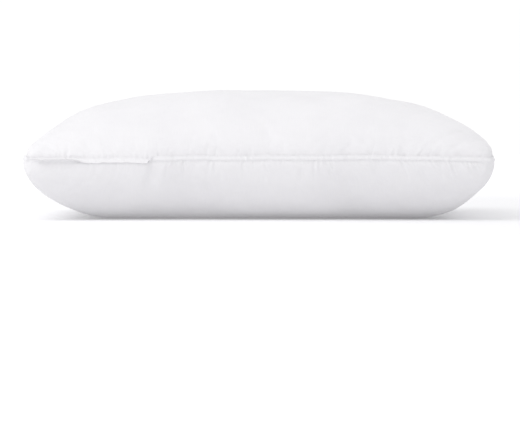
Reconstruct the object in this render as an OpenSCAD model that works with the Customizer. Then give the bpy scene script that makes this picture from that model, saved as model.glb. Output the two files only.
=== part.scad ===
// Bed pillow: two cloth panels sewn face to face round a flat flange, with a loose fibre filling.
// X runs along the long side, the front long side faces -Y, and the pillow rests on z = 0.

/* [Pillow] */
// Length of the filled pillow with its flange, before the corners are drawn in
pillow_length = 646; // [560:1:760]
// Width of the filled pillow with its flange, before the corners are drawn in
pillow_width = 498; // [420:1:520]
// Height of the filled pillow at its crown
loft = 176; // [120:1:200]
// Height of the seam above the resting face
seam_height = 81; // [60:1:95]
// How far the middle of each long side is drawn in by the filling
long_side_draw = 14; // [0:1:30]
// How far the middle of each short side is drawn in by the filling
short_side_draw = 5; // [0:1:20]
// How far the filling draws each corner in, along both sides
corner_draw = 10; // [0:1:14]
// Width of the border at each edge that curves up clear of the resting face
underside_border = 100; // [60:1:150]

/* [Cloth and seam] */
// Thickness of the cloth
cloth = 0.8; // [0.5:0.1:1.5]
// Width of the flat sewn flange outside the filled body
flange = 6; // [6:0.5:10]
// Gap between the two flanges, which the folded seam allowances fill
seam_gap = 0.4; // [0.4:0.1:1]
// Gap between the filling and the cloth
fill_gap = 0.4; // [0.3:0.1:2]

/* [Stitching] */
// Diameter of the sewing thread
thread_d = 0.5; // [0.3:0.1:0.8]
// Distance of the inner row of stitches from the filled body
inner_row = 1.2; // [0.8:0.1:2]
// Distance of the outer row of stitches from the filled body
outer_row = 4.4; // [3.5:0.1:5]
// Distance of the closing run of stitches from the filled body
closing_row = 2.8; // [2.2:0.1:3.2]
// Length of the closing run
closing_length = 154; // [100:1:200]
// Distance from the middle of the front edge to the near end of the closing run
closing_from_middle = 142; // [60:1:150]
// Length by which the closing run laps over the other rows at each end
closing_lap = 10; // [5:1:20]

/* [Care label] */
// Width of the folded label along the seam
label_width = 28; // [20:1:40]
// Length of the label below the flange
label_drop = 42; // [25:1:50]
// Thickness of the folded label, both plies together
label_thickness = 0.3; // [0.2:0.1:0.3]
// Distance of the label's middle from the middle of the back edge
label_from_middle = 190; // [0:1:220]

/* [Hidden] */

// Half sizes of the filled body, inside the flange
half_length = pillow_length / 2 - flange;
half_width = pillow_width / 2 - flange;

// Height of the upper panel's dome and depth of the lower panel's, both measured from the flange
crown = loft - seam_height - seam_gap / 2 - cloth;
belly = seam_height - seam_gap / 2 - cloth;

// Share of each half size that lies flat on the resting face
flat_u = 1 - underside_border / half_length;
flat_v = 1 - underside_border / half_width;

// Numbers of facets along the two sides
FACETS_LONG = 30;
FACETS_SHORT = 24;
THREAD_SIDES = 4;

// Stations from -1 to 1, closer together near the ends, where the cloth curves most
function stations(n) = [for (i = [0 : n]) let (s = 2 * i / n - 1) 0.45 * s + 0.55 * sin(90 * s)];
u_body = stations(FACETS_LONG);
v_body = stations(FACETS_SHORT);

// Rise of the upper dome from edge to middle, from 0 to 1
function rise(s) = pow(max(0, 1 - pow(abs(s), 3)), 1 / 1.65);

// Depth of the lower dome: 1 over the flat part, and a rounded end beyond it
function end_share(s, flat) = max(0, abs(s) - flat) / (1 - flat);
function sink(s, flat) = pow(max(0, 1 - pow(end_share(s, flat), 1.8)), 1 / 1.85);

// Two shares joined into one: 1 where both are 1, and 0 where either is 0. Fullness plumps the corners
LEAST_SHARE = 1e-6;
function joined(a, b, fullness) =
    pow(pow(max(a, LEAST_SHARE), -fullness) + pow(max(b, LEAST_SHARE), -fullness) - 1, -1 / fullness);
UPPER_FULLNESS = 0.75;
LOWER_FULLNESS = 3;
function upper_share(u, v) = joined(rise(u), rise(v), UPPER_FULLNESS);
function lower_share(u, v) = joined(sink(u, flat_u), sink(v, flat_v), LOWER_FULLNESS);

// Place on the pillow's plan of a point (u, v), where 1 is the seam and the sides are drawn in
CORNER_POWER_U = 14;
CORNER_POWER_V = 11;
function corner_pull(u, v) = corner_draw * pow(abs(u), CORNER_POWER_U) * pow(abs(v), CORNER_POWER_V);
function plan_x(u, v) = u * (half_length - short_side_draw * (1 - v * v)) - sign(u) * corner_pull(u, v);
function plan_y(u, v) = v * (half_width - long_side_draw * (1 - u * u)) - sign(v) * corner_pull(u, v);

// A point of a dome: skin is how far inside the cloth's outer face it lies
function dome_point(u, v, skin, z) = [
    plan_x(u, v) * (1 - skin / half_length),
    plan_y(u, v) * (1 - skin / half_width),
    z
];
function upper_z(u, v, skin) = seam_height + seam_gap / 2 + cloth - skin + crown * upper_share(u, v);
function lower_z(u, v, skin) = seam_height - seam_gap / 2 - cloth + skin - belly * lower_share(u, v);

// Point grids, one row for each v. A skin's grid has the flange as one more row at each side
function with_flange(s, half) = concat([-1 - flange / half], s, [1 + flange / half]);
u_skin = with_flange(u_body, half_length);
v_skin = with_flange(v_body, half_width);
function on_flange(u, v) = max(abs(u), abs(v)) > 1.0001;
function panel_point(u, v, skin, upper) =
    dome_point(u, v, on_flange(u, v) ? 0 : skin, upper ? upper_z(u, v, skin) : lower_z(u, v, skin));
function panel_grid(skin, upper) = [for (v = v_skin) for (u = u_skin) panel_point(u, v, skin, upper)];

// Triangles over a grid of nu by nv points that starts at point number first, seen from above
function grid_faces(nu, nv, first, flip) = [
    for (j = [0 : nv - 2])
        for (i = [0 : nu - 2])
            let (a = first + j * nu + i, b = a + 1, c = b + nu, d = a + nu)
                each flip
                    ? [[a, b, c], [a, c, d]]
                    : [[a, c, b], [a, d, c]]
];

// Numbers of a grid's border points, counter-clockwise seen from above
function border(nu, nv) = concat(
    [for (i = [0 : nu - 2]) i],
    [for (j = [0 : nv - 2]) j * nu + nu - 1],
    [for (i = [nu - 1 : -1 : 1]) (nv - 1) * nu + i],
    [for (j = [nv - 1 : -1 : 1]) j * nu]
);

// A closed sheet between an upper and a lower grid of the same size
module sheet_between(upper_grid, lower_grid, nu, nv) {
    n = nu * nv;
    rim = border(nu, nv);
    count = len(rim);
    walls = [
        for (k = [0 : count - 1])
            let (a = rim[k], b = rim[(k + 1) % count])
                each [[a, b, n + b], [a, n + b, n + a]]
    ];
    polyhedron(
        points = concat(upper_grid, lower_grid),
        faces = concat(grid_faces(nu, nv, 0, false), grid_faces(nu, nv, n, true), walls)
    );
}

// A point on the flange: side 0 is the front, then round counter-clockwise, and t runs from -1 to 1
function flange_point(side, t, out) =
    let (
        u = 1 + out / half_length,
        v = 1 + out / half_width,
        s = side % 2 == 0 ? t * u : t * v,
        at = side == 0 ? [s, -v] : side == 1 ? [u, s] : side == 2 ? [-s, v] : [-u, -s]
    )
        [plan_x(at[0], at[1]), plan_y(at[0], at[1])];

// Stops of the thread rows on the front edge, as shares of its half length. The run stays off the corner
CORNER_CLEAR = 6;
closing_end_t = -closing_from_middle / half_length;
closing_far_end = min(closing_from_middle + closing_length, half_length - closing_lap - CORNER_CLEAR);
closing_start_t = -closing_far_end / half_length;
lap_t = closing_lap / half_length;
STEPS_LONG = 26;
STEPS_SHORT = 20;
STEPS_CORNER = 3;
CLOSING_STEPS = 10;

// Stops from one place up to, but not at, another, closer together where an edge ends in a corner
function stops(from, to, n) = [
    for (i = [0 : n - 1])
        let (share = i / n, even = from + (to - from) * share)
            abs(from) == 1 && to == 1 ? sin(90 * even) * 0.4 + even * 0.6 : even
];

// A topstitched row runs all round except over the closing run
function row_path(out) = concat(
    [for (t = stops(closing_end_t, 1, STEPS_LONG)) flange_point(0, t, out)],
    [for (t = stops(-1, 1, STEPS_SHORT)) flange_point(1, t, out)],
    [for (t = stops(-1, 1, STEPS_LONG)) flange_point(2, t, out)],
    [for (t = stops(-1, 1, STEPS_SHORT)) flange_point(3, t, out)],
    [for (t = stops(-1, closing_start_t, STEPS_CORNER)) flange_point(0, t, out)],
    [flange_point(0, closing_start_t, out)]
);
function closing_path() = [
    for (i = [0 : CLOSING_STEPS])
        let (from = closing_start_t - lap_t, to = closing_end_t + lap_t)
            flange_point(0, from + (to - from) * i / CLOSING_STEPS, closing_row)
];

// A thin tube along a level path at height z
function heading(path, i) =
    let (
        last = len(path) - 1,
        along = path[min(i + 1, last)] - path[max(i - 1, 0)]
    )
        along / norm(along);
module thread_along(path, z) {
    count = len(path);
    rings = [
        for (i = [0 : count - 1])
            let (h = heading(path, i), across = [h[1], -h[0]])
                for (k = [0 : THREAD_SIDES - 1])
                    let (
                        a = 360 * (k + 0.5) / THREAD_SIDES,
                        r = thread_d / 2,
                        at = path[i] + r * cos(a) * across
                    )
                        [at[0], at[1], z + r * sin(a)]
    ];
    sides = [
        for (i = [0 : count - 2])
            for (k = [0 : THREAD_SIDES - 1])
                let (
                    a = i * THREAD_SIDES + k,
                    b = i * THREAD_SIDES + (k + 1) % THREAD_SIDES,
                    c = b + THREAD_SIDES,
                    d = a + THREAD_SIDES
                )
                    each [[a, b, c], [a, c, d]]
    ];
    last = (count - 1) * THREAD_SIDES;
    caps = [
        [for (k = [THREAD_SIDES - 1 : -1 : 0]) k],
        [for (k = [0 : THREAD_SIDES - 1]) last + k]
    ];
    polyhedron(points = rings, faces = concat(sides, caps));
}

// Heights of the threads' middles, just clear of the two outer faces of the flange
THREAD_CLEAR = 0.02;
needle_z = seam_height + seam_gap / 2 + cloth + thread_d / 2 + THREAD_CLEAR;
bobbin_z = seam_height - seam_gap / 2 - cloth - thread_d / 2 - THREAD_CLEAR;

module top_panel() {
    color("white")
        sheet_between(panel_grid(0, true), panel_grid(cloth, true), len(u_skin), len(v_skin));
}

module bottom_panel() {
    color("whitesmoke")
        sheet_between(panel_grid(cloth, false), panel_grid(0, false), len(u_skin), len(v_skin));
}

// The filling's upper and lower grids share their border at the height of the seam
module fibre_fill() {
    inset = cloth + fill_gap;
    upper = [
        for (v = v_body) for (u = u_body)
            dome_point(u, v, inset, seam_height + fill_gap / 4 + (crown - fill_gap) * upper_share(u, v))
    ];
    lower = [
        for (v = v_body) for (u = u_body)
            dome_point(u, v, inset, seam_height - fill_gap / 4 - (belly - fill_gap) * lower_share(u, v))
    ];
    color("ivory") sheet_between(upper, lower, len(u_body), len(v_body));
}

module inner_row_needle_thread() {
    color("gainsboro") thread_along(row_path(inner_row), needle_z);
}

module inner_row_bobbin_thread() {
    color("gainsboro") thread_along(row_path(inner_row), bobbin_z);
}

module outer_row_needle_thread() {
    color("gainsboro") thread_along(row_path(outer_row), needle_z);
}

module outer_row_bobbin_thread() {
    color("gainsboro") thread_along(row_path(outer_row), bobbin_z);
}

module closing_needle_thread() {
    color("lightgray") thread_along(closing_path(), needle_z);
}

module closing_bobbin_thread() {
    color("lightgray") thread_along(closing_path(), bobbin_z);
}

// The label is caught between the flanges, bends over their edge and hangs down
LABEL_TUCKED = 4;
LABEL_BEND_R = 2;
BEND_STEPS = 8;
function bend_arc(r) = [for (i = [0 : BEND_STEPS]) r * [sin(90 * i / BEND_STEPS), cos(90 * i / BEND_STEPS)]];
module care_label() {
    edge_y = plan_y(label_from_middle / half_length, 1 + flange / half_width);
    outer_r = LABEL_BEND_R + label_thickness;
    inner_arc = bend_arc(LABEL_BEND_R);
    profile = concat(
        [[-LABEL_TUCKED, outer_r]],
        bend_arc(outer_r),
        [[outer_r, -label_drop], [LABEL_BEND_R, -label_drop]],
        [for (i = [BEND_STEPS : -1 : 0]) inner_arc[i]],
        [[-LABEL_TUCKED, LABEL_BEND_R]]
    );
    color("snow")
        translate([label_width / 2 - label_from_middle, edge_y, seam_height - outer_r + label_thickness / 2])
            rotate([90, 0, -90])
                linear_extrude(height = label_width)
                    mirror([1, 0])
                        polygon(profile);
}

top_panel();
bottom_panel();
fibre_fill();
inner_row_needle_thread();
inner_row_bobbin_thread();
outer_row_needle_thread();
outer_row_bobbin_thread();
closing_needle_thread();
closing_bobbin_thread();
care_label();
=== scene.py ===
import math

import bpy
import numpy as np
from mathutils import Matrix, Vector
from mathutils.geometry import delaunay_2d_cdt


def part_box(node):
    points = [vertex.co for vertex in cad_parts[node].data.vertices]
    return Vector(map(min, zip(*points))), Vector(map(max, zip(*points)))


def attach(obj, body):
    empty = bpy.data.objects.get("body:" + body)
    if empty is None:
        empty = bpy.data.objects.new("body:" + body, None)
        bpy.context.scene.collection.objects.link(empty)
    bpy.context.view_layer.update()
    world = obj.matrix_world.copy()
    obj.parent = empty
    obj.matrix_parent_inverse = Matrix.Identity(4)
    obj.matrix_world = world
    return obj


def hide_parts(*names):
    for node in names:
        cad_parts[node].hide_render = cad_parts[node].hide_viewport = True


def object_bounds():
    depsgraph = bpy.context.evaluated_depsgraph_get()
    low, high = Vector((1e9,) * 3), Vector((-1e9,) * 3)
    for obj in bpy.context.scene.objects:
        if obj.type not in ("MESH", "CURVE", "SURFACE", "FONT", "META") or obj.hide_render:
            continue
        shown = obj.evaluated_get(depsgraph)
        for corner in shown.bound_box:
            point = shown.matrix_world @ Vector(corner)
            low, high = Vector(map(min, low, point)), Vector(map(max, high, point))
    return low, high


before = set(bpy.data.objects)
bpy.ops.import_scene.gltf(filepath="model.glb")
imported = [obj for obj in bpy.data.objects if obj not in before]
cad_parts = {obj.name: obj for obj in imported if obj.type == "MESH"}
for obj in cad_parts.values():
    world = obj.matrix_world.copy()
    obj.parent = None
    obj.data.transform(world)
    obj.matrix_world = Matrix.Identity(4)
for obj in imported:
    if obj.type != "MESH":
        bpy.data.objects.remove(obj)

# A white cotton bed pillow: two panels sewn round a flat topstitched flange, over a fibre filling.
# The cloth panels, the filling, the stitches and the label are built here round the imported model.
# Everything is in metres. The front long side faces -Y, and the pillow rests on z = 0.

MM = 0.001
BODY = "root"
cad_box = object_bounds()

# -------- sizes, from the frame where it has them

_, panel_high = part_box("top_panel")
needle_low, needle_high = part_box("inner_row_needle_thread")
_, bobbin_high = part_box("inner_row_bobbin_thread")
LOFT = panel_high.z
SEAM_Z = (needle_low.z + bobbin_high.z) / 2
CLOTH = 0.8 * MM
FLANGE = 6 * MM
THREAD_D = needle_high.z - needle_low.z

# Rows of stitches, as distances outside the filled body
INNER_ROW = 1.2 * MM
OUTER_ROW = 4.4 * MM
CLOSING_ROW = 2.8 * MM
closing_low, closing_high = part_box("closing_needle_thread")
CLOSING_LAP = 10 * MM

# How far the filling draws the middles of the sides and the corners in. The powers keep the corners' own
# pull local
LONG_SIDE_DRAW = 14 * MM
SHORT_SIDE_DRAW = 5 * MM
CORNER_DRAW = 10 * MM
CORNER_POWER_U = 14
CORNER_POWER_V = 11

# The rise from seam to crown: a power shapes the shoulder, and a root rounds it off at the seam
RISE_POWER = 3
RISE_ROOT = 1.65
LEFT_POWER = 3.2
RIGHT_POWER_LESS = 0.62
LEFT_ROOT = 1.55
RIGHT_ROOT_MORE = 0.5
SINK_POWER = 1.8
SINK_ROOT = 1.85
END_BLEND = 0.3
TOP_FULLNESS = 0.75
BOTTOM_FULLNESS = 3

# The crown stays a little under the CAD's, and the seam droops at the corners
CROWN_SAG = 1.2 * MM
RIGHT_DROOP = 3 * MM
LEFT_DROOP = 1 * MM
DROOP_POWER = 8

# The underside's rounded border, and how much of a half length wider it is at the left end
UNDERSIDE_BORDER = 100 * MM
LEFT_LIFT = 0.05

# The panels' flat size, cut from 26 by 20 inch ticking
FLAT_LENGTH = 0.660
FLAT_WIDTH = 0.508
HALF_CUT = np.array([FLAT_LENGTH, FLAT_WIDTH]) / 2


def least_draw(side_draw, corner_power):
    """How far the widest point of an edge stays inside the edge's own line."""
    s = np.linspace(0, 1, 400)
    return float((side_draw * (1 - s**2) + CORNER_DRAW * s**corner_power).min())


HALF_LENGTH = panel_high.x - FLANGE + least_draw(SHORT_SIDE_DRAW, CORNER_POWER_V)
HALF_WIDTH = panel_high.y - FLANGE + least_draw(LONG_SIDE_DRAW, CORNER_POWER_U)
FLAT_U = 1 - UNDERSIDE_BORDER / HALF_LENGTH
FLAT_V = 1 - UNDERSIDE_BORDER / HALF_WIDTH


def smooth_step(x, low, high):
    t = np.clip((x - low) / (high - low), 0, 1)
    return t * t * (3 - 2 * t)


# -------- the filled shape

def rise(s):
    """The rise over the width."""
    return np.maximum(0, 1 - np.abs(s)**RISE_POWER) ** (1 / RISE_ROOT)


def rise_along(u):
    """The rise over the length: a full left shoulder, and a lower right shoulder with a blunter end."""
    right = smooth_step(u, -END_BLEND, END_BLEND)
    power = LEFT_POWER - RIGHT_POWER_LESS * right
    root = LEFT_ROOT + RIGHT_ROOT_MORE * right
    return np.maximum(0, 1 - np.abs(u) ** power) ** (1 / root)


def sink(s, flat):
    """The underside's depth: full over the flat share, then rounded up to the seam."""
    beyond = np.maximum(0, np.abs(s) - flat) / (1 - flat)
    return np.maximum(0, 1 - beyond**SINK_POWER) ** (1 / SINK_ROOT)


def sink_along(u):
    """The underside over the length, which lifts off the floor a little sooner at the left end."""
    left = 1 - smooth_step(u, -END_BLEND, END_BLEND)
    return sink(u, FLAT_U - LEFT_LIFT * left)


def joined(a, b, fullness):
    """Two shares as one: 1 where both are 1, 0 where either is 0. Fullness plumps the corners."""
    least = 1e-6
    return (np.maximum(a, least)**-fullness + np.maximum(b, least)**-fullness - 1) ** (-1 / fullness)


def plan(u, v):
    """Place on the pillow's plan of (u, v), where 1 is the seam."""
    pull = CORNER_DRAW * np.abs(u)**CORNER_POWER_U * np.abs(v)**CORNER_POWER_V
    x = u * (HALF_LENGTH - SHORT_SIDE_DRAW * (1 - v * v)) - np.sign(u) * pull
    y = v * (HALF_WIDTH - LONG_SIDE_DRAW * (1 - u * u)) - np.sign(v) * pull
    return x, y


class Dome:
    """One side of the filled pillow. Cut shares a and b, from -1 to 1, run over the flat panel, so that
    equal steps in them are equal lengths of cloth."""

    SHARES = 41
    ARCS = 400

    def __init__(self, upper):
        self.upper = upper
        self.height = LOFT - SEAM_Z - CLOTH - CROWN_SAG if upper else SEAM_Z - CLOTH
        self.fullness = TOP_FULLNESS if upper else BOTTOM_FULLNESS
        self.along_u = rise_along if upper else sink_along
        self.along_v = rise if upper else (lambda s: sink(s, FLAT_V))
        self.table_u = self.arc_table(self.along_u, HALF_LENGTH)
        self.table_v = self.arc_table(self.along_v, HALF_WIDTH)

    def arc_table(self, profile, half):
        """Rows for shares across, columns for shares of the arc from seam to middle to seam."""
        s = 1 - (1 - np.linspace(0, 1, 4 * self.ARCS + 1)) ** 2
        even = np.linspace(0, 1, self.ARCS + 1)
        rows = []
        for across in np.linspace(0, 1, self.SHARES):
            ends = []
            for sign in (-1, 1):
                z = self.height * joined(profile(sign * s), across, self.fullness)
                steps = np.hypot(np.diff(s * half), np.diff(z))
                arc = np.concatenate([[0], np.cumsum(steps)])
                ends.append(sign * np.interp(even, arc / arc[-1], s))
            rows.append(np.concatenate([ends[0][::-1], ends[1][1:]]))
        return np.array(rows)

    def look_up(self, table, across, arc):
        """The place from -1 to 1 at a share of the arc, read between the table's rows and columns."""
        i = np.clip(across, 0, 1) * (table.shape[0] - 1)
        j = np.clip((arc + 1) / 2, 0, 1) * (table.shape[1] - 1)
        i0 = np.minimum(i.astype(int), table.shape[0] - 2)
        j0 = np.minimum(j.astype(int), table.shape[1] - 2)
        fi = i - i0
        fj = j - j0
        low = table[i0, j0] * (1 - fj) + table[i0, j0 + 1] * fj
        high = table[i0 + 1, j0] * (1 - fj) + table[i0 + 1, j0 + 1] * fj
        return low * (1 - fi) + high * fi

    def surface(self, a, b):
        """Points of the filled shape at cut shares a and b, and their (u, v)."""
        u = a.copy()
        v = b.copy()
        # A few rounds settle u and v, because each one's table depends on the other
        for _ in range(8):
            u = (u + self.look_up(self.table_u, self.along_v(v), a)) / 2
            v = (v + self.look_up(self.table_v, self.along_u(u), b)) / 2
        x, y = plan(u, v)
        droop = np.where(u > 0, RIGHT_DROOP, LEFT_DROOP)
        seam = SEAM_Z - droop * (u * v) ** DROOP_POWER
        share = joined(self.along_u(u), self.along_v(v), self.fullness)
        z = seam + self.height * share if self.upper else seam - (seam - CLOTH) * share
        return np.stack([x, y, z], -1), u, v


TOP = Dome(True)
BOTTOM = Dome(False)


# -------- cloth simulation

GRID_STEP = 6.5 * MM
SIM_FRAMES = 42
HOLD_WEIGHT = 0.12
PRESSURE = 2.0
START_UNEVEN = 0.35 * MM

# Spare cloth near the seam and at the corners, and the seam's own gathering, as shares of its length
SEAM_SLACK = 0.008
SLACK_REACH = 45 * MM
CORNER_SLACK = 0.02
CORNER_REACH = 0.055
GATHERED = 0.03
GATHER_REACH = 5 * MM

# How much of the simulated move each panel keeps
TOP_MOVE_SHARE = 0.3
BOTTOM_MOVE_SHARE = 0.25
MOST_MOVE = 9 * MM


def new_object(name, data):
    """An object in the scene, for a mesh, a lamp or a camera."""
    obj = bpy.data.objects.new(name, data)
    bpy.context.collection.objects.link(obj)
    return obj


def new_mesh(name, points, faces):
    mesh = bpy.data.meshes.new(name)
    mesh.from_pydata(points, [], faces)
    return new_object(name, mesh)


def weigh(obj, name, weights):
    """A vertex group with the given weights, added in batches of equal weight."""
    group = obj.vertex_groups.new(name=name)
    rounded = np.round(weights, 3)
    for value in np.unique(rounded):
        group.add(np.where(rounded == value)[0].tolist(), float(value), "REPLACE")


def closed_grid(na, nb):
    """A grid over each panel, the two joined along the seam. Returns the cut shares of the grid, which of
    its places are inside the seam, the point numbers above and below, and the faces."""
    a, b = np.meshgrid(np.linspace(-1, 1, na + 1), np.linspace(-1, 1, nb + 1))
    inside = np.zeros(a.shape, bool)
    inside[1:-1, 1:-1] = True
    top_index = np.arange(a.size).reshape(a.shape)
    bottom_index = top_index.copy()
    bottom_index[inside] = a.size + np.arange(inside.sum())
    faces = []
    for index, flip in ((top_index, False), (bottom_index, True)):
        corners = [index[:-1, :-1], index[:-1, 1:], index[1:, 1:], index[1:, :-1]]
        faces.append(np.stack(corners[::-1] if flip else corners, -1).reshape(-1, 4))
    return a, b, inside, top_index, bottom_index, np.concatenate(faces)


def both_sides(values, inside):
    """Values over a grid, for its upper points and then its lower ones."""
    return np.concatenate([values.ravel(), values[inside]])


def cut_distance(a, b):
    """Distance over the flat panel from cut shares to the seam."""
    return np.minimum((1 - np.abs(a)) * FLAT_LENGTH, (1 - np.abs(b)) * FLAT_WIDTH) / 2


def simulate_cover():
    """Blow the sewn cover up against its filling, with slack at the corners and a gathered seam. Returns
    the two grids of displacements, one for each panel, over cut shares."""
    na = 2 * round(FLAT_LENGTH / 2 / GRID_STEP)
    nb = 2 * round(FLAT_WIDTH / 2 / GRID_STEP)
    a, b, inside, top_index, bottom_index, faces = closed_grid(na, nb)
    top, _, _ = TOP.surface(a, b)
    bottom, u, v = BOTTOM.surface(a, b)
    start = np.concatenate([top.reshape(-1, 3), bottom[inside]])
    every_a = both_sides(a, inside)
    every_b = both_sides(b, inside)
    uneven = np.random.default_rng(5).normal(0, START_UNEVEN, start.shape)
    resting = np.zeros(len(start), bool)
    flat = (np.abs(u) < FLAT_U * 0.98) & (np.abs(v) < FLAT_V * 0.98)
    resting[bottom_index[flat & inside]] = True
    uneven[resting] = 0
    start = start + uneven

    obj = new_mesh("cover_sim", start.tolist(), faces.tolist())
    held = np.full(len(start), HOLD_WEIGHT)
    held[resting] = 1
    weigh(obj, "held", held)
    to_seam = cut_distance(every_a, every_b)
    corner = np.exp(-(((1 - np.abs(every_a)) * FLAT_LENGTH / 2) ** 2
                      + ((1 - np.abs(every_b)) * FLAT_WIDTH / 2) ** 2) / (2 * CORNER_REACH**2))
    slack = SEAM_SLACK * np.exp(-to_seam / SLACK_REACH) + CORNER_SLACK * corner
    gathered = GATHERED * np.exp(-(to_seam / GATHER_REACH) ** 2)
    shrink = gathered - slack
    least = float(shrink.min())
    most = float(shrink.max())
    weigh(obj, "shrink", (shrink - least) / (most - least))

    cloth = obj.modifiers.new("Cloth", "CLOTH")
    s = cloth.settings
    s.quality = 5
    s.mass = 0.3
    s.tension_stiffness = s.compression_stiffness = 15
    s.shear_stiffness = 5
    s.bending_stiffness = 0.4
    s.air_damping = 6
    s.goal_friction = 15
    s.effector_weights.gravity = 0
    s.use_pressure = True
    s.uniform_pressure_force = PRESSURE
    s.vertex_group_mass = "held"
    s.vertex_group_shrink = "shrink"
    s.shrink_min = least
    s.shrink_max = most
    cloth.collision_settings.use_collision = False
    cloth.point_cache.frame_start = 1
    cloth.point_cache.frame_end = SIM_FRAMES
    scene = bpy.context.scene
    for number in range(1, SIM_FRAMES + 1):
        scene.frame_set(number)
    evaluated = obj.evaluated_get(bpy.context.evaluated_depsgraph_get())
    end = np.empty(3 * len(start))
    evaluated.to_mesh().vertices.foreach_get("co", end)
    scene.frame_set(1)
    bpy.data.objects.remove(obj)
    move = end.reshape(-1, 3) - start + uneven
    length = np.linalg.norm(move, axis=1, keepdims=True)
    move *= np.minimum(1, MOST_MOVE / np.maximum(length, 1e-9))
    print("cover simulated: mean move %.2f mm, most %.2f mm" % (length.mean() / MM, length.max() / MM))
    return TOP_MOVE_SHARE * move[top_index], BOTTOM_MOVE_SHARE * move[bottom_index]


def sample(grid, a, b):
    """Smooth (cubic) reading of a grid of vectors at cut shares."""
    rows, columns = grid.shape[:2]
    x = (a + 1) / 2 * (columns - 1)
    y = (b + 1) / 2 * (rows - 1)
    x0 = np.clip(np.floor(x).astype(int), 0, columns - 2)
    y0 = np.clip(np.floor(y).astype(int), 0, rows - 2)

    def weights(t):
        return [
            (-t**3 + 2 * t**2 - t) / 2, (3 * t**3 - 5 * t**2 + 2) / 2,
            (-3 * t**3 + 4 * t**2 + t) / 2, (t**3 - t**2) / 2,
        ]

    wx = weights(x - x0)
    wy = weights(y - y0)
    total = 0
    for j in range(4):
        row = np.clip(y0 + j - 1, 0, rows - 1)
        for i in range(4):
            column = np.clip(x0 + i - 1, 0, columns - 1)
            total = total + grid[row, column] * (wx[i] * wy[j])[:, None]
    return total


# -------- the panels' fine mesh

# Spacing along the seam, of the rings next to it and over the open panel, and how fast it grows inward
SEAM_STEP = 1.5 * MM
RING_STEP = 1.4 * MM
OPEN_STEP = 6.5 * MM
RING_GROWTH = 22 * MM
ALONG_GROWTH = 34 * MM

# How quickly the way out turns from one side to the next at a corner
DIAGONAL_BLEND = 6 * MM


def rectangle(half_x, half_y, step):
    """Evenly spaced points round a rectangle, counter-clockwise from its front left corner."""
    points = []
    corners = [(-half_x, -half_y), (half_x, -half_y), (half_x, half_y), (-half_x, half_y)]
    for k in range(4):
        start = np.array(corners[k])
        end = np.array(corners[(k + 1) % 4])
        n = max(2, round(float(np.linalg.norm(end - start)) / step))
        points.append(start + (end - start) * (np.arange(n) / n)[:, None])
    return np.concatenate(points)


def cut_points():
    """Points over a flat panel, close together at the seam and wider apart inside. The seam's come first."""
    rings = [rectangle(*HALF_CUT, SEAM_STEP)]
    inset = 0.0
    while True:
        inset += min(OPEN_STEP * 0.9, RING_STEP * (1 + (inset / RING_GROWTH) ** 1.2))
        along = min(OPEN_STEP, SEAM_STEP * (1 + (inset / ALONG_GROWTH) ** 1.5))
        half_x, half_y = HALF_CUT - inset
        if half_y < OPEN_STEP:
            break
        rings.append(rectangle(half_x, half_y, along))
    middle = np.arange(-half_x, half_x, OPEN_STEP)
    rings.append(np.stack([middle, np.zeros_like(middle)], -1))
    return np.concatenate(rings), len(rings[0])


def triangulate(points):
    """Delaunay triangles over the points, each counter-clockwise."""
    vectors = [Vector(p) for p in points.tolist()]
    found = delaunay_2d_cdt(vectors, [], [], 0, 1e-7)
    origin = [group[0] for group in found[3]]
    triangles = np.array([[origin[i] for i in face] for face in found[2]])
    p, q, r = (points[triangles[:, k]] for k in range(3))
    area = (q[:, 0] - p[:, 0]) * (r[:, 1] - p[:, 1]) - (q[:, 1] - p[:, 1]) * (r[:, 0] - p[:, 0])
    triangles[area < 0] = triangles[area < 0][:, ::-1]
    return triangles[np.abs(area) > 1e-10]


def vertex_normals(points, triangles):
    """Unit normals of the points, each weighted by the areas of the triangles round it."""
    p, q, r = (points[triangles[:, k]] for k in range(3))
    face = np.cross(q - p, r - p)
    normals = np.zeros_like(points)
    for k in range(3):
        np.add.at(normals, triangles[:, k], face)
    return normals / np.maximum(np.linalg.norm(normals, axis=1, keepdims=True), 1e-12)


def nearest_seam_point():
    """Number of the seam point straight out from each cut point."""
    outer = CUT.copy()
    on_short = GAPS[:, 0] < GAPS[:, 1]
    outer[on_short, 0] = np.sign(CUT[on_short, 0]) * HALF_CUT[0]
    outer[~on_short, 1] = np.sign(CUT[~on_short, 1]) * HALF_CUT[1]
    ring = CUT[:SEAM_COUNT]
    nearest = np.empty(len(CUT), int)
    # In batches, to keep the table of distances small
    for first in range(0, len(CUT), 2000):
        part = outer[first:first + 2000]
        nearest[first:first + 2000] = ((part[:, None, :] - ring[None]) ** 2).sum(-1).argmin(1)
    return nearest


def way_out():
    """The direction out to the seam at each cut point, turning smoothly from one side to the next."""
    weight = np.exp(-(GAPS - GAPS.min(1, keepdims=True)) / DIAGONAL_BLEND)
    direction = np.sign(CUT) * weight
    direction /= np.maximum(np.linalg.norm(direction, axis=1, keepdims=True), 1e-9)
    return np.concatenate([direction, np.zeros((len(CUT), 1))], 1)


# The cut points, their distances from the short and the long side, and what follows from them
CUT, SEAM_COUNT = cut_points()
TRIANGLES = triangulate(CUT)
GAPS = HALF_CUT - np.abs(CUT)
TO_SEAM = GAPS.min(1)
NEAREST = nearest_seam_point()
OUT = way_out()


# -------- puckers and folds

PUCKER_PITCH = 7.0 * MM
FOLD_PITCH = 40 * MM
FOLD_DEPTH = 0.55
LUMP_HEIGHT = 1.3 * MM
LUMP_WAVES = 14
TUCK_LENGTH = 75 * MM
TUCK_WIDTH = 3.6 * MM


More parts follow.
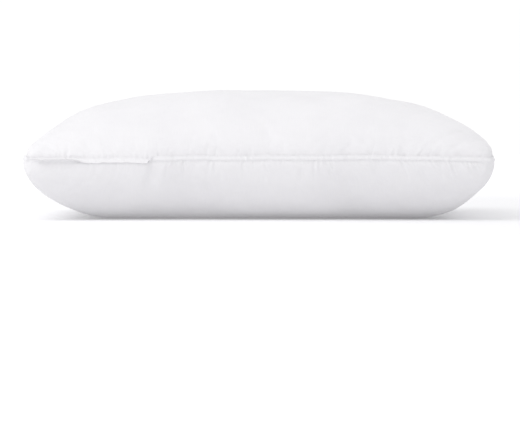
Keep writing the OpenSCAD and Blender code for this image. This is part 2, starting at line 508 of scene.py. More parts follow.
def crease(at, toward, length, width, depth):
    """Relief of one crease over the cut points: a valley with raised shoulders that starts at the seam
    point, runs toward a direction and fades out."""
    away = CUT - at
    along = away @ toward
    across = away[:, 0] * toward[1] - away[:, 1] * toward[0]
    near = (along > -2 * width) & (along < length) & (np.abs(across) < 4 * width)
    relief = np.zeros(len(CUT))
    s = across[near] / width
    fade = np.clip(1 - np.maximum(along[near], 0) / length, 0, 1) ** 1.4
    relief[near] = -depth * (1 - s**2) * np.exp(-(s**2) / 2) * fade
    return relief


def seam_stations(pitch, random):
    """Unevenly spaced places round the seam of the flat panel, each with its point, the directions along
    the side and inward, and its share of the side's length."""
    places = []
    corners = np.array([(-1, -1), (1, -1), (1, 1), (-1, 1)]) * HALF_CUT
    for side in range(4):
        start = corners[side]
        end = corners[(side + 1) % 4]
        size = np.linalg.norm(end - start)
        forward = (end - start) / size
        inward = np.array([-forward[1], forward[0]])
        at = pitch * random.uniform(0.2, 0.8)
        while at < size:
            places.append((start + forward * at, forward, inward, at / size))
            at += pitch * random.uniform(0.6, 1.45)
    return places


def heading_in(forward, inward, share, fan, reach, slant):
    """The way that a crease runs in from the seam, which fans out toward the two ends of the side."""
    slant += fan * np.sign(0.5 - share) * np.exp(-min(share, 1 - share) / reach)
    return inward * math.cos(slant) + forward * math.sin(slant)


def puckers(seed, strength):
    """The small gathers on one side of the seam, with some that run further in."""
    random = np.random.default_rng(seed)
    relief = np.zeros(len(CUT))
    for at, forward, inward, share in seam_stations(PUCKER_PITCH, random):
        long = random.uniform() < 0.2
        length = random.uniform(20, 42) * MM if long else random.uniform(7, 15) * MM
        width = random.uniform(1.6, 2.4) * MM if long else random.uniform(1.1, 1.7) * MM
        depth = strength * random.uniform(0.35, 1.0) * (1.3 if long else 1.0) * MM
        toward = heading_in(forward, inward, share, 0.5, 0.05, random.normal(0.12, 0.22))
        relief += crease(at, toward, length, width, depth)
    return relief


def soft_folds(seed):
    """Wide shallow folds that run in from the seam."""
    random = np.random.default_rng(seed)
    relief = np.zeros(len(CUT))
    for at, forward, inward, share in seam_stations(FOLD_PITCH, random):
        toward = heading_in(forward, inward, share, 0.7, 0.12, random.normal(0, 0.25))
        length = random.uniform(50, 130) * MM
        width = random.uniform(5, 11) * MM
        depth = FOLD_DEPTH * random.uniform(0.4, 1.0) * MM
        relief += crease(at, toward, length, width, depth)
    return relief


def corner_tucks(depth):
    """A crease that runs in from each corner, where the panel is gathered two ways."""
    relief = np.zeros(len(CUT))
    for sign_x, sign_y, turn in ((-1, -1, 0.10), (1, -1, -0.08), (1, 1, 0.05), (-1, 1, -0.12)):
        at = HALF_CUT * (sign_x, sign_y)
        heading = math.pi / 4 + turn
        toward = np.array([-sign_x * math.cos(heading), -sign_y * math.sin(heading)])
        relief += crease(at, toward, TUCK_LENGTH, TUCK_WIDTH, depth)
    return relief


def lumps(points, seed):
    """Slow swelling and hollows where the filling lies unevenly."""
    random = np.random.default_rng(seed)
    relief = np.zeros(len(points))
    for _ in range(LUMP_WAVES):
        wave = random.uniform(90, 240) * MM
        heading = random.uniform(0, 2 * math.pi)
        phase = random.uniform(0, 2 * math.pi)
        travel = points[:, 0] * math.cos(heading) + points[:, 1] * math.sin(heading)
        relief += LUMP_HEIGHT * np.sin(2 * math.pi * travel / wave + phase) / math.sqrt(LUMP_WAVES)
    return relief


# -------- seam line and flange

# How far above level the flange leans: where it stands, along the closing run, at the front left corner and
# at the label
FLANGE_LEAN = math.radians(116)
CLOSING_LEAN = math.radians(-44)
CORNER_LEAN = math.radians(4)
LABEL_LEAN = math.radians(14)

# How far past its two edges the label still holds the flange, and how far the closing run sags
LABEL_REACH = 30 * MM
CLOSING_SAG = 0.5 * MM

# The closing run hangs loose from between these two x, and the flange rises again round the corner between
# these two distances along the seam
LOOSE_FROM = (-0.250, -0.222)
CORNER_RISE = (-8 * MM, 20 * MM)

# Half the length over which the flange turns over, and the share of its width that it loses there
TWIST = 6 * MM
TWIST_LOSS = 0.45

# Unevenness of the seam outward and up, and of the flange's middle and its faces
SEAM_WIGGLE = 0.22 * MM
SEAM_BOW = 0.5 * MM
FLANGE_WAVE = 0.2 * MM
QUILT = 0.10 * MM
STITCH_DIP = 0.3 * MM


def run_length(points):
    """Distance along a line of points, from its first one."""
    steps = np.linalg.norm(np.diff(points, axis=0), axis=1)
    return np.concatenate([[0], np.cumsum(steps)])


class Seam:
    """The seam line and, at each of its points, the way that the flange leans."""

    def __init__(self, moves):
        a, b = (CUT[:SEAM_COUNT] / HALF_CUT).T
        line, _, _ = TOP.surface(a, b)
        line = line + sample(moves, a, b)
        steps = np.linalg.norm(np.roll(line, -1, axis=0) - line, axis=1)
        self.arc = np.concatenate([[0], np.cumsum(steps)[:-1]])
        self.total = float(steps.sum())
        self.out = self.outward(line)
        self.line = line + self.out * (self.waves(range(170, 330, 5), 3) * SEAM_WIGGLE)[:, None]
        self.line[:, 2] += self.waves(range(5, 30), 4) * SEAM_BOW
        self.closing = self.closing_share()
        self.loose = self.closing * smooth_step(self.line[:, 0], *LOOSE_FROM)
        self.line[:, 2] -= CLOSING_SAG * self.loose
        self.hanging = self.hanging_share()
        self.lean = self.leaning()
        self.width_share = 1 - TWIST_LOSS * 4 * self.hanging * (1 - self.hanging)
        self.along, self.up = self.axes()
        self.wave = self.waves(range(90, 300, 5), 21) * FLANGE_WAVE

    def waves(self, numbers, seed):
        """A smooth random curve that closes on itself, as a sum of sines round the seam."""
        random = np.random.default_rng(seed)
        curve = np.zeros(SEAM_COUNT)
        for k in numbers:
            size = random.normal()
            curve += size * np.sin(2 * math.pi * k * self.arc / self.total + random.uniform(0, 2 * math.pi))
        return curve / len(numbers) ** 0.5

    def outward(self, line):
        """The level direction out of the pillow at each seam point."""
        tangent = np.roll(line, -3, axis=0) - np.roll(line, 3, axis=0)
        tangent[:, 2] = 0
        tangent /= np.linalg.norm(tangent, axis=1, keepdims=True)
        return np.stack([tangent[:, 1], -tangent[:, 0], np.zeros(len(line))], -1)

    def closing_share(self):
        """1 along the closing run at the front, 0 elsewhere, with quick changes at its two ends."""
        x = self.line[:, 0]
        start = closing_low.x + CLOSING_LAP
        end = closing_high.x - CLOSING_LAP
        share = smooth_step(x, start - TWIST, start + TWIST) * (1 - smooth_step(x, end - TWIST, end + TWIST))
        return share * (self.line[:, 1] < 0)

    def hanging_share(self):
        """1 where the flange hangs: along the closing run and on to the front left corner."""
        end = closing_high.x - CLOSING_LAP
        share = 1 - smooth_step(self.line[:, 0], end - TWIST, end + TWIST)
        from_corner = np.where(self.arc < self.total / 2, self.arc, self.arc - self.total)
        return share * smooth_step(from_corner, *CORNER_RISE)

    def leaning(self):
        """Angle of the flange above level. It stands against the upper panel, hangs along the closing
        run, and lies nearly level where the label holds it."""
        slow = self.waves(range(6, 34), 7)
        quick = self.waves(range(60, 150, 3), 8)
        up = FLANGE_LEAN + math.radians(2.5) * slow + math.radians(1) * quick
        away = smooth_step(self.line[:, 0], *LOOSE_FROM)
        down = CORNER_LEAN + (CLOSING_LEAN - CORNER_LEAN) * away
        down += math.radians(2) * slow + math.radians(1) * quick
        label_low, label_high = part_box("care_label")
        x = self.line[:, 0]
        at_label = smooth_step(x, label_low.x - LABEL_REACH, label_low.x)
        at_label *= (1 - smooth_step(x, label_high.x, label_high.x + LABEL_REACH)) * (self.line[:, 1] > 0)
        lean = up * (1 - self.hanging) + down * self.hanging
        return lean * (1 - at_label) + LABEL_LEAN * at_label

    def axes(self):
        """The flange's own directions: along its width and square to it."""
        c = np.cos(self.lean)[:, None]
        s = np.sin(self.lean)[:, None]
        z = np.array([0, 0, 1.0])
        return self.out * c + z * s, z * c - self.out * s

    def flange_point(self, out, height):
        """Points all round the flange, a distance out and a height off its middle."""
        height = np.reshape(height, (-1, 1))
        return self.line + self.along * (out * self.width_share)[:, None] + self.up * height

    def middle(self, out):
        """How far the middle of the flange waves off its plane at a distance out."""
        return self.wave * (out / FLANGE) ** 1.3


def row_dip(out, row):
    """How far a point takes part in the dip along a row of stitches."""
    return np.exp(-(((out - row) / (0.5 * MM)) ** 2))


# The turned-in edge of a flange layer, and the height of its inner face over the flange's middle
EDGE_R = 0.38 * MM
TURN_STEPS = 5
INNER_FACE = 0.03 * MM


def flange_profile():
    """Stations over a flange layer: out, height and how far each takes part in the stitched relief."""
    face = np.array([0.5, 0.9, 1.2, 1.6, 2.2, 2.8, 3.4, 4.0, 4.4, 4.8, 5.3]) * MM
    rows = [(out, CLOTH, 1.0) for out in face]
    centre = FLANGE - EDGE_R
    for k in range(TURN_STEPS + 1):
        turn = math.pi * (0.5 - k / TURN_STEPS)
        rows.append((centre + EDGE_R * math.cos(turn), CLOTH - EDGE_R + EDGE_R * math.sin(turn), 0.0))
    rows += [(out * MM, INNER_FACE, 0.0) for out in (4.6, 2.9, 1.4)]
    return rows


def flange_rows(seam, side):
    """Rows of points of one flange layer. side is 1 for the upper layer and -1 for the lower one."""
    quilt = seam.waves(range(230, 420, 6), 22 + side) * QUILT
    rows = []
    for out, height, face in flange_profile():
        dip = STITCH_DIP * ((row_dip(out, INNER_ROW) + row_dip(out, OUTER_ROW)) * (1 - seam.closing)
                            + row_dip(out, CLOSING_ROW) * seam.closing)
        between = math.sin(math.pi * min(1, max(0, out / FLANGE)))
        h = height + face * (quilt * between - dip)
        rows.append(seam.flange_point(out, seam.middle(out) + side * h))
    return rows


# -------- pieces

def new_piece(name, points, faces, material, node):
    """A smooth-shaded piece that rides on the body and stands for one CAD node."""
    obj = new_mesh(name, points, faces)
    obj.data.materials.append(material)
    obj.data.polygons.foreach_set("use_smooth", np.ones(len(faces), bool))
    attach(obj, BODY)
    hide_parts(node)
    return obj


def set_uv(obj, uv):
    """Give a piece's cloth coordinates, one pair for each point."""
    mesh = obj.data
    layer = mesh.uv_layers.new(name="cloth")
    index = np.empty(len(mesh.loops), int)
    mesh.loops.foreach_get("vertex_index", index)
    layer.data.foreach_set("uv", uv[index].ravel())


# Depths of the gathers on each panel, as shares and in metres, and how they start off at the seam
TOP_PUCKER = 0.7
BOTTOM_PUCKER = 1.0
TOP_TUCK = 0.7 * MM
BOTTOM_TUCK = 2.2 * MM
PUCKER_START = 1.6 * MM
LUMP_START = 40 * MM
OFF_FLOOR = 14 * MM

# The flange presses the upper panel in until it has this much room, less the panel's own slope away from it
PRESS_GAP = 0.15 * MM
OWN_SLOPE = 0.9 * MM
PRESS_BLUR = 5 * MM

# The groove at the foot of the flange, on the side that faces away from it
ROOT_GROOVE = 1.5 * MM
GROOVE_REACH = 1.5 * MM

# The lower panel lies this far along the hanging flange, with a gap under it, and blends into the rest
LIE_ALONG = 5.3 * MM
LIE_GAP = 0.5 * MM
LIE_BLEND = 14 * MM
LIE_BLUR = 9 * MM
LIE_FADE = 22 * MM

# How far inward the panel follows the flange's foot, and how far round each corner it is evened out
FOOT_REACH = 7 * MM
FOOT_BLUR = 4 * MM
EASE_REACH = 14 * MM
EASE_ROUNDS = 15

# Spacing of the cloth texture over the rows of the flange
FLANGE_UV_STEP = 0.8 * MM


def round_blur(values, spread):
    """Values round the seam, softened over a spread in metres."""
    steps = spread / SEAM_STEP
    reach = int(3 * steps)
    total = np.zeros(len(values))
    weight = 0.0
    for shift in range(-reach, reach + 1):
        w = math.exp(-(shift / steps) ** 2 / 2)
        total += w * np.roll(values, shift)
        weight += w
    return total / weight


def panel_relief(points, hanging, side):
    """Height of the gathers, folds and lumps over one panel."""
    depth = TOP_PUCKER if side > 0 else BOTTOM_PUCKER
    relief = puckers(40 + side, depth) * (1 + 0.6 * side * hanging)
    relief += soft_folds(50 + side) * (1 - 0.5 * hanging)
    relief += corner_tucks(TOP_TUCK if side > 0 else BOTTOM_TUCK)
    start = 1 - np.exp(-TO_SEAM / PUCKER_START)
    relief = relief * start + lumps(points, 60 + side) * (1 - np.exp(-TO_SEAM / LUMP_START))
    if side < 0:
        relief = relief * smooth_step(points[:, 2], CLOTH, OFF_FLOOR)
    return relief


def pressed_in(seam):
    """How far the flange that stands against the upper panel presses it in."""
    tip = np.maximum(0, CLOTH + PRESS_GAP - FLANGE * np.cos(seam.lean) - OWN_SLOPE)
    reach = TO_SEAM / FLANGE
    return round_blur(tip, PRESS_BLUR)[NEAREST] * (reach * np.exp(1 - reach)) ** 1.5


def lie_on_flange(points, seam):
    """Lay the lower panel against the hanging flange, along the loose part of the closing run."""
    beyond = np.maximum(0, TO_SEAM - LIE_ALONG)[:, None]
    under = -(CLOTH + LIE_GAP)
    root = seam.flange_point(0, under)
    tip = seam.flange_point(LIE_ALONG, under)
    reached = np.minimum(1, TO_SEAM / LIE_ALONG)[:, None]
    lying = root[NEAREST] * (1 - reached) + tip[NEAREST] * reached
    # From the flange's tip the panel drops nearly straight down
    lying -= beyond * (0.20 * OUT + np.array([0, 0, 0.98]))
    near_tip = 1 - smooth_step(TO_SEAM, LIE_ALONG, LIE_BLEND)
    share = seam.loose[NEAREST] * near_tip
    share += round_blur(seam.loose, LIE_BLUR)[NEAREST] * (1 - near_tip)
    return points + (lying - points) * share[:, None] * np.exp(-((beyond / LIE_FADE) ** 2))


def ease_corners(points):
    """Even the panel out close to each corner, where the gathers of two sides meet."""
    share = 0.8 * np.exp(-((np.hypot(GAPS[:, 0], GAPS[:, 1]) / EASE_REACH) ** 2))
    share[share < 0.01] = 0
    share[:SEAM_COUNT] = 0
    ends = np.concatenate([TRIANGLES[:, [0, 1]], TRIANGLES[:, [1, 2]], TRIANGLES[:, [2, 0]]])
    ends = np.concatenate([ends, ends[:, ::-1]])
    ends = ends[share[ends[:, 0]] > 0]
    count = np.maximum(np.bincount(ends[:, 0], minlength=len(points)), 1)
    for _ in range(EASE_ROUNDS):
        around = np.zeros_like(points)
        np.add.at(around, ends[:, 0], points[ends[:, 1]])
        points = points + (around / count[:, None] - points) * share[:, None]
    return points


def panel_surface(dome, moves, seam, side):
    """The filled part of one panel: its shape, the simulated moves, the gathers along the seam, and the
    way that it meets the flange."""
    a, b = (CUT / HALF_CUT).T
    points, _, _ = dome.surface(a, b)
    points = points + sample(moves, a, b)
    normals = side * vertex_normals(points, TRIANGLES)
    hanging = seam.hanging[NEAREST]
    points = points + normals * panel_relief(points, hanging, side)[:, None]
    if side > 0:
        points -= OUT * pressed_in(seam)[:, None]
    reach = TO_SEAM / GROOVE_REACH
    groove = ROOT_GROOVE * reach * np.exp(1 - reach)
    groove *= 1.1 * hanging if side > 0 else 1 - 0.8 * hanging
    points -= OUT * groove[:, None]
    if side < 0:
        points = lie_on_flange(points, seam)
    # The panel starts from the flange layer's outer face
    foot = seam.flange_point(0, side * CLOTH)
    shift = foot - points[:SEAM_COUNT]
    soft = np.stack([round_blur(shift[:, k], FOOT_BLUR) for k in range(3)], -1)[NEAREST]
    soft[:SEAM_COUNT] = shift
    points = ease_corners(points + soft * np.exp(-((TO_SEAM / FOOT_REACH) ** 1.5))[:, None])
    points[:, 2] = np.maximum(points[:, 2], 0.0)
    return points


def cloth_panel(name, node, dome, moves, seam, side, material):
    """One cloth panel with its flange layer, which turns in round the edge."""
    rows = flange_rows(seam, side)
    points = np.concatenate([panel_surface(dome, moves, seam, side)] + rows)
    faces = [tuple(t) if side > 0 else tuple(t[::-1]) for t in TRIANGLES.tolist()]
    starts = [0] + [len(CUT) + k * SEAM_COUNT for k in range(len(rows))]
    for near, far in zip(starts[:-1], starts[1:]):
        for i in range(SEAM_COUNT):
            j = (i + 1) % SEAM_COUNT
            quad = (near + i, far + i, far + j, near + j)
            faces.append(quad if side > 0 else quad[::-1])
    obj = new_piece(name, points.tolist(), faces, material, node)
    ring = CUT[:SEAM_COUNT]
    direction = ring / np.linalg.norm(ring, axis=1, keepdims=True)
    uv = [CUT] + [ring + direction * (1 + k) * FLANGE_UV_STEP for k in range(len(rows))]
    set_uv(obj, np.concatenate(uv))


# The filling's grid, and how far it stays inside the cloth, with more room near the seam
FIBRE_CELLS = (84, 64)
TUFT = 0.9 * MM
FIBRE_CLEAR = 2.6 * MM
SEAM_CLEAR = 4 * MM
SEAM_CLEAR_REACH = 22 * MM


def fibre_body(name, top_moves, bottom_moves, material):
    """The filling: a lumpy closed body just inside the cloth."""
    a, b, inside, _, _, faces = closed_grid(*FIBRE_CELLS)
    flat_a = a.ravel()
    flat_b = b.ravel()
    top = TOP.surface(flat_a, flat_b)[0] + sample(top_moves, flat_a, flat_b)
    bottom = BOTTOM.surface(flat_a, flat_b)[0] + sample(bottom_moves, flat_a, flat_b)
    points = np.concatenate([top, bottom[inside.ravel()]])
    triangles = np.concatenate([faces[:, [0, 1, 2]], faces[:, [0, 2, 3]]])
    normals = vertex_normals(points, triangles)
    tufts = np.random.default_rng(9).uniform(0, TUFT, len(points))
    to_seam = cut_distance(both_sides(a, inside), both_sides(b, inside))
    clear = FIBRE_CLEAR + SEAM_CLEAR * np.exp(-((to_seam / SEAM_CLEAR_REACH) ** 2))
    points = points - normals * (clear + tufts)[:, None]
    obj = new_piece(name, points.tolist(), faces.tolist(), material, "fibre_fill")
    smooth = obj.modifiers.new("Subdivision", "SUBSURF")
    smooth.levels = smooth.render_levels = 1


# Stitches: length, space between them, and how their middles stand out of the dip and their ends sink in
STITCH_LENGTH = 3.0 * MM
STITCH_GAP = 0.7 * MM
STITCH_SIDES = 5
STITCH_RINGS = 5
STITCH_OUT = 0.28
STITCH_SINK = 0.38 * MM


def stitch_row(name, node, seam, out, side, kept, material):
    """A row of separate stitches on one face of the flange, over the kept share of the seam."""
    height = side * (CLOTH - STITCH_DIP + THREAD_D * STITCH_OUT)
    path = seam.flange_point(out, seam.middle(out) + height)
    # The first point comes again at the end, to close the row
    path, ups, where = (np.concatenate([part, part[:1]]) for part in (path, seam.up * side, kept))
    arc = run_length(path)
    number = int(arc[-1] / (STITCH_LENGTH + STITCH_GAP))
    pitch = arc[-1] / number

    def at(places, values):
        return np.stack([np.interp(places, arc, values[:, k]) for k in range(3)], -1)

    verts = []
    faces = []
    for n in range(number):
        middle = (n + 0.5) * pitch
        if np.interp(middle, arc, where) < 0.5:
            continue
        share = np.linspace(-1, 1, STITCH_RINGS)
        places = middle + share * STITCH_LENGTH / 2
        centre = at(places, path)
        up = at(places, ups)
        ahead = at(places + 0.2 * MM, path) - at(places - 0.2 * MM, path)
        ahead /= np.linalg.norm(ahead, axis=1, keepdims=True)
        across = np.cross(ahead, up)
        across /= np.linalg.norm(across, axis=1, keepdims=True)
        centre = centre - up * (STITCH_SINK * share**4)[:, None]
        first = len(verts)
        for k in range(STITCH_RINGS):
            radius = THREAD_D / 2 * (1 - 0.3 * share[k] ** 4)
            for m in range(STITCH_SIDES):
                turn = 2 * math.pi * m / STITCH_SIDES
                verts.append(centre[k] + radius * (math.cos(turn) * across[k] + math.sin(turn) * up[k]))
        for k in range(STITCH_RINGS - 1):
            for m in range(STITCH_SIDES):
                p = first + k * STITCH_SIDES + m
                q = first + k * STITCH_SIDES + (m + 1) % STITCH_SIDES
                faces.append((p, q, q + STITCH_SIDES, p + STITCH_SIDES))
        last = first + (STITCH_RINGS - 1) * STITCH_SIDES
        faces.append(tuple(first + m for m in reversed(range(STITCH_SIDES))))
        faces.append(tuple(last + m for m in range(STITCH_SIDES)))
    new_piece(name, [tuple(p) for p in verts], faces, material, node)


# The label's points across, the bend from the seam down, the half gap between its plies, and its swing
LABEL_COLUMNS = 15
LABEL_BEND = 1.8 * MM
PLY_GAP = 0.14 * MM
LABEL_SWING = 1.6 * MM
LABEL_RIPPLE = 0.5 * MM


def label_tab(name, seam, material):
    """A blank folded tape that is caught in the back seam and hangs down."""
    low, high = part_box("care_label")
    drop = SEAM_Z - low.z
    behind = seam.line[:, 1] > 0
    xs = np.linspace(low.x, high.x, LABEL_COLUMNS)
    order = np.argsort(seam.line[behind, 0])

    def along_seam(values):
        return np.interp(xs, seam.line[behind, 0][order], values[behind][order])

    edge = seam.line + seam.along * FLANGE
    edge_y = along_seam(edge[:, 1])
    edge_z = along_seam(edge[:, 2])
    lean = along_seam(seam.lean)
    plies = []
    for gap in (PLY_GAP, -PLY_GAP):
        # Each ply's outline from inside the seam: out along the flange, round the bend, and down
        path = []
        for back in (5.0, 3.0, 1.0, 0.0):
            path.append((-back * MM * np.cos(lean), -back * MM * np.sin(lean) + gap))
        for k in range(1, 7):
            turn = math.pi / 2 * k / 6
            y = (LABEL_BEND + gap) * math.sin(turn)
            z = LABEL_BEND * (math.cos(turn) - 1) + gap * math.cos(turn)
            path.append((y, z))
        for k in range(1, 17):
            t = k / 16
            swing = LABEL_SWING * math.sin(2.6 * t) + gap * (1 + 2.2 * math.sin(math.pi * t))
            path.append((LABEL_BEND + swing, -LABEL_BEND - (drop - 2 * LABEL_BEND) * t))
        plies.append(path)
    outline = plies[0] + plies[1][::-1]
    ripple = np.sin(np.linspace(0, 2.2 * math.pi, LABEL_COLUMNS)) * LABEL_RIPPLE
    points = []
    for y, z in outline:
        share = min(1, max(0, -float(np.mean(z)) / drop))
        points.append(np.stack([xs, edge_y + y + ripple * share, edge_z + z], -1))
    grid = np.concatenate(points)
    faces = []
    for k in range(len(outline) - 1):
        for i in range(LABEL_COLUMNS - 1):
            p = k * LABEL_COLUMNS + i
            faces.append((p, p + LABEL_COLUMNS, p + LABEL_COLUMNS + 1, p + 1))
    obj = new_piece(name, grid.tolist(), faces, material, "care_label")
    tape = run_length(np.array([p.mean(0) for p in points]))
    set_uv(obj, np.stack([np.tile(xs, len(outline)), np.repeat(tape, LABEL_COLUMNS)], -1))


# -------- materials

class Nodes:
    """The node tree of a material or world, with short calls to add and join nodes."""

    def __init__(self, owner):
        owner.use_nodes = True
        self.owner = owner
        self.tree = owner.node_tree
        self.shader = self.tree.nodes.get("Principled BSDF")

    def add(self, kind, **settings):
        node = self.tree.nodes.new(kind)
        for key, value in settings.items():
            setattr(node, key, value)
        return node

    def join(self, output, target):
        self.tree.links.new(output, target)

    def math(self, operation, a, b):
        node = self.add("ShaderNodeMath", operation=operation)
        for socket, value in zip(node.inputs, (a, b)):
            if isinstance(value, (int, float)):
                socket.default_value = value
            else:
                self.join(value, socket)
        return node.outputs[0]

    def coordinate(self, output):
        return self.add("ShaderNodeTexCoord").outputs[output]

    def axis(self, vector, letter):
        node = self.add("ShaderNodeSeparateXYZ")
        self.join(vector, node.inputs[0])
        return node.outputs[letter]

    def map_range(self, value, source, target, **settings):
        """A value carried from a source range to a target range, and held at its ends."""
        node = self.add("ShaderNodeMapRange", **settings)
        self.join(value, node.inputs["Value"])
        for name, number in zip(("From Min", "From Max", "To Min", "To Max"), (*source, *target)):
            node.inputs[name].default_value = number
        return node.outputs["Result"]

    def noise(self, vector, scale, detail, roughness, stretch=None):
        if stretch:
            mapping = self.add("ShaderNodeMapping")
            mapping.inputs["Scale"].default_value = stretch
            self.join(vector, mapping.inputs["Vector"])
            vector = mapping.outputs[0]
        node = self.add("ShaderNodeTexNoise")
        node.inputs["Scale"].default_value = scale
        node.inputs["Detail"].default_value = detail
        node.inputs["Roughness"].default_value = roughness
        self.join(vector, node.inputs["Vector"])
        return node.outputs["Fac"]

    def ramp(self, factor, stops):
        node = self.add("ShaderNodeValToRGB")
        while len(node.color_ramp.elements) < len(stops):
            node.color_ramp.elements.new(0.5)
        for element, (position, colour) in zip(node.color_ramp.elements, stops):
            element.position = position
            element.color = (*colour, 1)
        self.join(factor, node.inputs["Fac"])
        return node.outputs["Color"]

    def weave(self, vector, pitch):
        """Height of a plain weave: warp over weft and weft over warp in turn."""
        waves = []
        for direction in ("X", "Y"):
            wave = self.add("ShaderNodeTexWave", wave_type="BANDS", bands_direction=direction)
            wave.wave_profile = "SIN"
            wave.inputs["Scale"].default_value = 1 / pitch * math.pi / 10
            self.join(vector, wave.inputs["Vector"])
            waves.append(wave.outputs["Fac"])
        checker = self.add("ShaderNodeTexChecker")
        checker.inputs["Scale"].default_value = 1 / pitch
        self.join(vector, checker.inputs["Vector"])
        warp = self.math("MULTIPLY", waves[0], checker.outputs["Fac"])
        other = self.math("SUBTRACT", 1.0, checker.outputs["Fac"])
        weft = self.math("MULTIPLY", waves[1], other)
        return self.math("ADD", warp, weft)

    def bump(self, height, distance, strength, normal=None):
        node = self.add("ShaderNodeBump")
        node.inputs["Distance"].default_value = distance
        node.inputs["Strength"].default_value = strength
        self.join(height, node.inputs["Height"])
        if normal:
            self.join(normal, node.inputs["Normal"])
        return node.outputs["Normal"]

    def finish(self, colour, normal, **constants):
        self.join(colour, self.shader.inputs["Base Color"])
        self.join(normal, self.shader.inputs["Normal"])
        for name, value in constants.items():
            self.shader.inputs[name.replace("_", " ")].default_value = value
        return self.owner


def cotton_ticking():
    n = Nodes(bpy.data.materials.new("cotton_ticking"))
    cloth = n.add("ShaderNodeUVMap", uv_map="cloth").outputs["UV"]
    place = n.coordinate("Object")
    mottle = n.noise(place, 14, 4, 0.6)
    slub = n.noise(cloth, 900, 2, 0.6, stretch=(1, 0.06, 1))
    tint = n.math("ADD", n.math("MULTIPLY", mottle, 0.7), n.math("MULTIPLY", slub, 0.3))
    colour = n.ramp(tint, [(0.3, (0.800, 0.792, 0.809)), (0.7, (0.850, 0.842, 0.856))])
    weave = n.weave(cloth, 0.38 * MM)
    rumple = n.noise(place, 210, 4, 0.62)
    normal = n.bump(rumple, 0.5 * MM, 0.35)
    normal = n.bump(weave, 0.07 * MM, 0.5, normal)
    return n.finish(colour, normal, Roughness=0.86, Sheen_Weight=0.3, Sheen_Roughness=0.5,
                    Specular_IOR_Level=0.25)


def fibre_filling():
    n = Nodes(bpy.data.materials.new("fibre_filling"))
    place = n.coordinate("Object")
    clumps = n.noise(place, 55, 5, 0.65)
    strands = n.noise(place, 420, 6, 0.7, stretch=(1, 0.25, 1))
    colour = n.ramp(clumps, [(0.3, (0.82, 0.81, 0.78)), (0.7, (0.90, 0.895, 0.87))])
    normal = n.bump(clumps, 4 * MM, 0.5)
    normal = n.bump(strands, 1 * MM, 0.7, normal)
    return n.finish(colour, normal, Roughness=0.95, Sheen_Weight=0.35, Sheen_Roughness=0.6,
                    Specular_IOR_Level=0.15)


def sewing_thread():
    n = Nodes(bpy.data.materials.new("sewing_thread"))
    place = n.coordinate("Object")
    fuzz = n.noise(place, 2500, 3, 0.6)
    colour = n.ramp(fuzz, [(0.3, (0.74, 0.74, 0.765)), (0.7, (0.82, 0.82, 0.835))])
    normal = n.bump(fuzz, 0.1 * MM, 0.6)
    return n.finish(colour, normal, Roughness=0.6, Sheen_Weight=0.2, Sheen_Roughness=0.4,
                    Specular_IOR_Level=0.35)


def satin_tape():
    n = Nodes(bpy.data.materials.new("satin_tape"))
    tape = n.add("ShaderNodeUVMap", uv_map="cloth").outputs["UV"]
    threads = n.noise(tape, 3200, 2, 0.5, stretch=(1, 0.05, 1))
    colour = n.ramp(threads, [(0.3, (0.80, 0.80, 0.80)), (0.7, (0.87, 0.87, 0.87))])
    normal = n.bump(n.weave(tape, 0.25 * MM), 0.04 * MM, 0.4)
    return n.finish(colour, normal, Roughness=0.45, Sheen_Weight=0.15, Sheen_Roughness=0.3,
                    Specular_IOR_Level=0.4)


# -------- studio

CEILING = 0.93
KEY_POWER = 29
FLOOR_HALF = 6.0
FLOOR_FAR_GLOW = 0.4


def floor():
    """A white floor with painted light: it glows a little, more so far from the pillow, so that it meets the
    walls unseen.
    """
    corners = [(x * FLOOR_HALF, y * FLOOR_HALF, 0) for x, y in ((-1, -1), (1, -1), (1, 1), (-1, 1))]
    obj = new_mesh("floor", corners, [(0, 1, 2, 3)])
    n = Nodes(bpy.data.materials.new("white_floor"))
    n.shader.inputs["Base Color"].default_value = (0.81, 0.81, 0.82, 1)
    n.shader.inputs["Roughness"].default_value = 0.9
    n.shader.inputs["Specular IOR Level"].default_value = 0.1
    # Painted light: the floor glows by its emission, with no lamp behind it
    n.shader.inputs["Emission Color"].default_value = (1, 1, 1, 1)
    place = n.coordinate("Object")
    distance = n.add("ShaderNodeVectorMath", operation="LENGTH")
    n.join(place, distance.inputs[0])
    far = n.map_range(distance.outputs["Value"], (0.5, 2.2), (0.0, 1.0), interpolation_type="SMOOTHSTEP")
    # Close to the pillow the glow falls away to the right, a painted shade on the floor there that also
    # sends less light onto the pillow's lower right
    near = n.map_range(n.axis(place, "X"), (-0.1, 0.45), (0.17, 0.12), interpolation_type="SMOOTHSTEP")
    strength = n.add("ShaderNodeMix", data_type="FLOAT")
    strength.inputs["B"].default_value = FLOOR_FAR_GLOW
    n.join(far, strength.inputs["Factor"])
    n.join(near, strength.inputs["A"])
    n.join(strength.outputs["Result"], n.shader.inputs["Emission Strength"])
    obj.data.materials.append(n.owner)


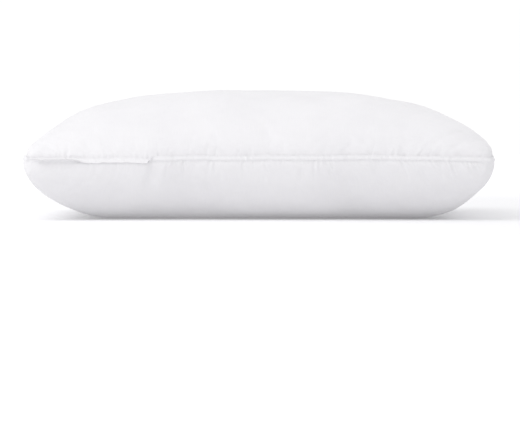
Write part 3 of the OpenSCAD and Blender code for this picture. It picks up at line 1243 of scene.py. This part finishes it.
def lights():
    """White walls all round at the height of the horizon, a dimmer ceiling, and one large soft key."""
    world = bpy.data.worlds.new("studio")
    n = Nodes(world)
    heading = n.coordinate("Generated")
    colour = n.ramp(n.axis(heading, "Z"), [(0.12, (1, 1, 1)), (0.30, (CEILING, CEILING, CEILING * 1.01))])
    # The wall that the pillow's front faces, behind the camera, is a little darker
    facing = n.add("ShaderNodeVectorMath", operation="DOT_PRODUCT")
    facing.inputs[1].default_value = (0.15, -0.99, 0)
    n.join(heading, facing.inputs[0])
    shade = n.add("ShaderNodeVectorMath", operation="SCALE")
    n.join(colour, shade.inputs[0])
    n.join(n.map_range(facing.outputs["Value"], (0.0, 1.0), (1.0, 0.70)), shade.inputs["Scale"])
    background = n.tree.nodes["Background"]
    n.join(shade.outputs["Vector"], background.inputs["Color"])
    background.inputs["Strength"].default_value = 1.02
    bpy.context.scene.world = world
    key = bpy.data.lights.new("key", "AREA")
    key.energy = KEY_POWER
    key.size = 2.0
    obj = new_object("key", key)
    obj.location = (-1.4, -1.7, 2.2)
    aim = Vector((0, 0, 0.1)) - obj.location
    obj.rotation_euler = aim.to_track_quat("-Z", "Y").to_euler()


# The front long side takes FRAME_SHARE of the frame's width, and the camera aims at this place on it
CAMERA_DISTANCE = 3.5
CAMERA_ELEVATION = math.radians(1.95)
FRAME_SHARE = 0.920
SENSOR = 36.0
AIM_RIGHT = 0.0014
AIM_HEIGHT_SHARE = 0.083


def camera():
    """Nearly level with the pillow, facing its front long side."""
    data = bpy.data.cameras.new("camera")
    low, high = cad_box
    aim = Vector(((low.x + high.x) / 2 + AIM_RIGHT, -HALF_WIDTH, AIM_HEIGHT_SHARE * LOFT))
    back = Vector((0, -math.cos(CAMERA_ELEVATION), math.sin(CAMERA_ELEVATION)))
    data.sensor_width = SENSOR
    length = high.x - low.x - 2 * FLANGE
    data.lens = SENSOR * CAMERA_DISTANCE / (length / FRAME_SHARE)
    data.clip_end = 50
    obj = new_object("camera", data)
    obj.location = aim + back * CAMERA_DISTANCE
    obj.rotation_euler = (-back).to_track_quat("-Z", "Y").to_euler()
    bpy.context.scene.camera = obj


# -------- build

camera()
lights()
floor()
bpy.context.scene.view_settings.view_transform = "Standard"

top_moves, bottom_moves = simulate_cover()

seam = Seam(top_moves)
fibre_body("fibre_body", top_moves, bottom_moves, fibre_filling())
ticking = cotton_ticking()
cloth_panel("top_cloth", "top_panel", TOP, top_moves, seam, 1, ticking)
cloth_panel("bottom_cloth", "bottom_panel", BOTTOM, bottom_moves, seam, -1, ticking)

thread = sewing_thread()
double = 1 - seam.closing
for face, side in (("needle", 1), ("bobbin", -1)):
    for row, out, kept in (("inner_row", INNER_ROW, double), ("outer_row", OUTER_ROW, double),
                           ("closing", CLOSING_ROW, seam.closing)):
        stitch_row(f"{row}_{face}_stitches", f"{row}_{face}_thread", seam, out, side, kept, thread)
label_tab("label_tab", seam, satin_tape())
